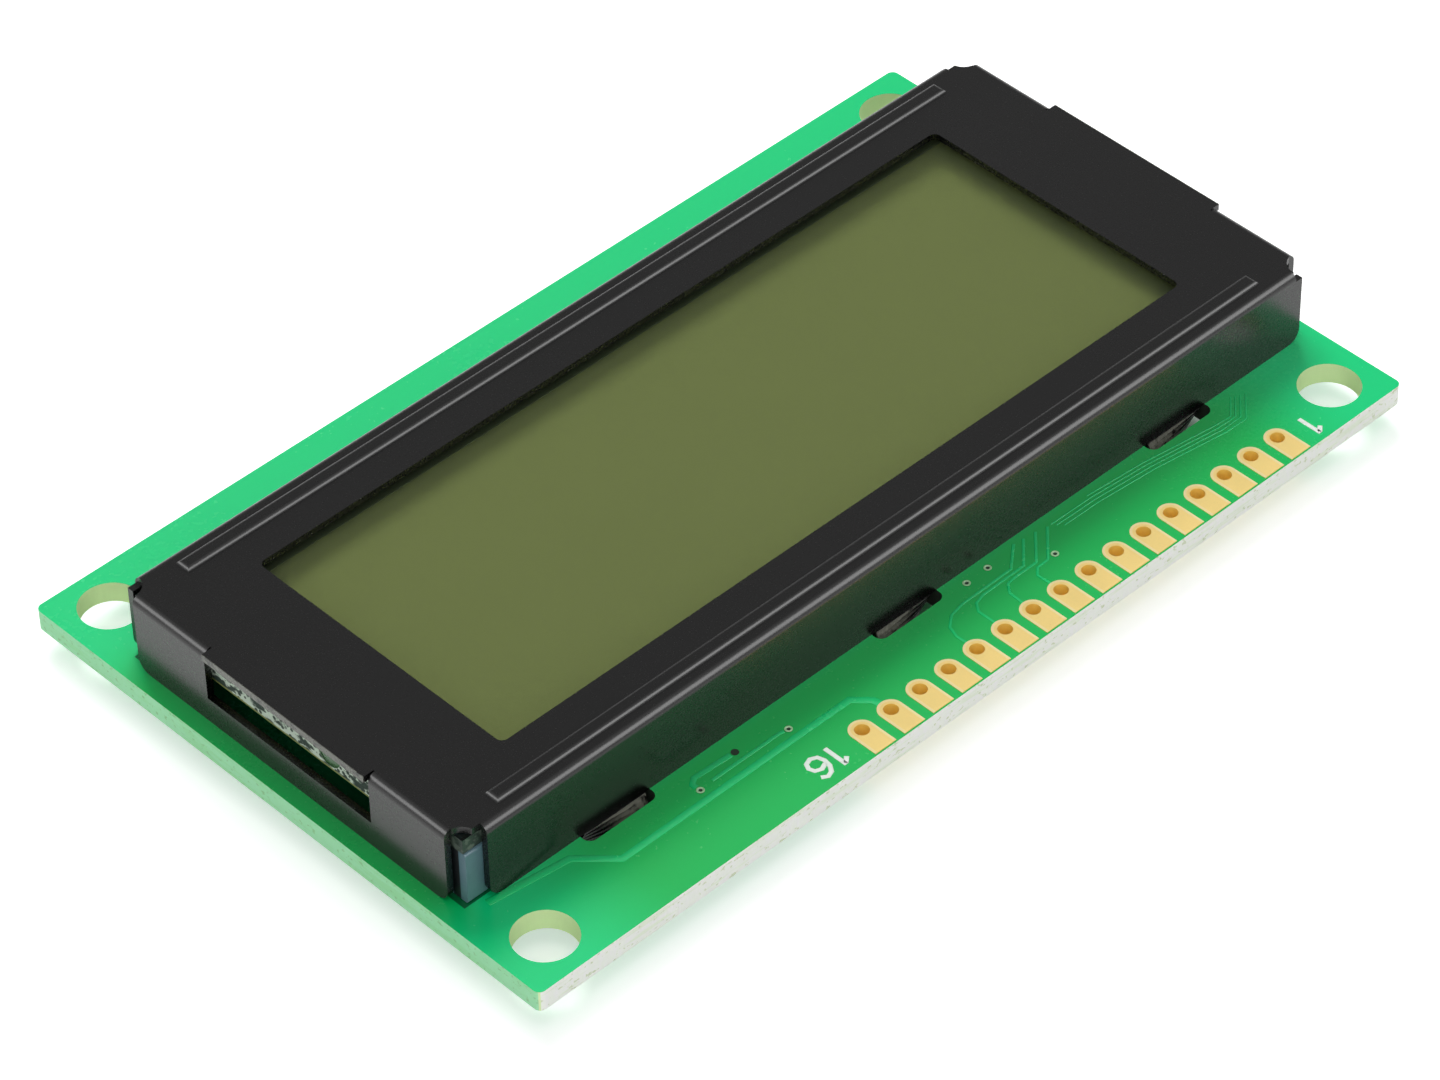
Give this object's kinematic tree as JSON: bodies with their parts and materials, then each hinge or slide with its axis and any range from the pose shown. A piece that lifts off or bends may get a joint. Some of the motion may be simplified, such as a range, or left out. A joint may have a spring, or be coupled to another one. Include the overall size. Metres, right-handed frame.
{
  "type": "character LCD module",
  "caption": "Reflective character LCD module: glass display cell in a folded black steel bezel on a green circuit board with mounting holes and a row of plated pads.",
  "frame": {"origin": "under the middle of the circuit board, level with the tips of the bezel's twisted tabs, which are the lowest points", "axes": "+X along the text lines, to the right as the display is read; +Y up the page, towards the edge with the pads; +Z out of the display towards the viewer"},
  "size_m": [0.077, 0.047, 0.0094],
  "materials": {
    "green_laminate": "glossy green solder mask over glass-epoxy laminate, pale sawn edges",
    "black_enamel": "satin black baked enamel on folded steel sheet",
    "polarizer_film": "smooth olive polarizer film",
    "display_glass": "clear float glass with ground edges",
    "cell_sealant": "dark epoxy sealant",
    "port_resin": "cured clear green resin",
    "reflector_film": "polarizer film backed by a matt reflector",
    "contact_elastomer": "grey-blue silicone with a dark conductive core",
    "gold_plating": "thin gold plating on copper",
    "chip_resin": "glossy black potting resin",
    "resistor_ceramic": "black glaze over ceramic, tinned ends",
    "capacitor_ceramic": "tan fired ceramic, tinned ends"
  },
  "bodies": {
    "root": {"circuit_board": "green_laminate", "bezel": "black_enamel", "front_polarizer": "polarizer_film", "front_glass": "display_glass", "cell_seal": "cell_sealant", "fill_port_plug": "port_resin", "rear_glass": "display_glass", "rear_polarizer": "reflector_film", "elastomer_strip_upper": "contact_elastomer", "elastomer_strip_lower": "contact_elastomer", "contact_row_upper": "gold_plating", "contact_row_lower": "gold_plating", "pin_pad_01": "gold_plating", "pin_pad_02": "gold_plating", "pin_pad_03": "gold_plating", "pin_pad_04": "gold_plating", "pin_pad_05": "gold_plating", "pin_pad_06": "gold_plating", "pin_pad_07": "gold_plating", "pin_pad_08": "gold_plating", "pin_pad_09": "gold_plating", "pin_pad_10": "gold_plating", "pin_pad_11": "gold_plating", "pin_pad_12": "gold_plating", "pin_pad_13": "gold_plating", "pin_pad_14": "gold_plating", "pin_pad_15": "gold_plating", "pin_pad_16": "gold_plating", "chip_cover_1": "chip_resin", "chip_cover_2": "chip_resin", "chip_cover_3": "chip_resin", "resistor_1": "resistor_ceramic", "resistor_2": "resistor_ceramic", "resistor_3": "resistor_ceramic", "resistor_4": "resistor_ceramic", "resistor_5": "resistor_ceramic", "resistor_6": "resistor_ceramic", "capacitor_1": "capacitor_ceramic", "capacitor_2": "capacitor_ceramic", "capacitor_3": "capacitor_ceramic"}
  },
  "joints": []
}
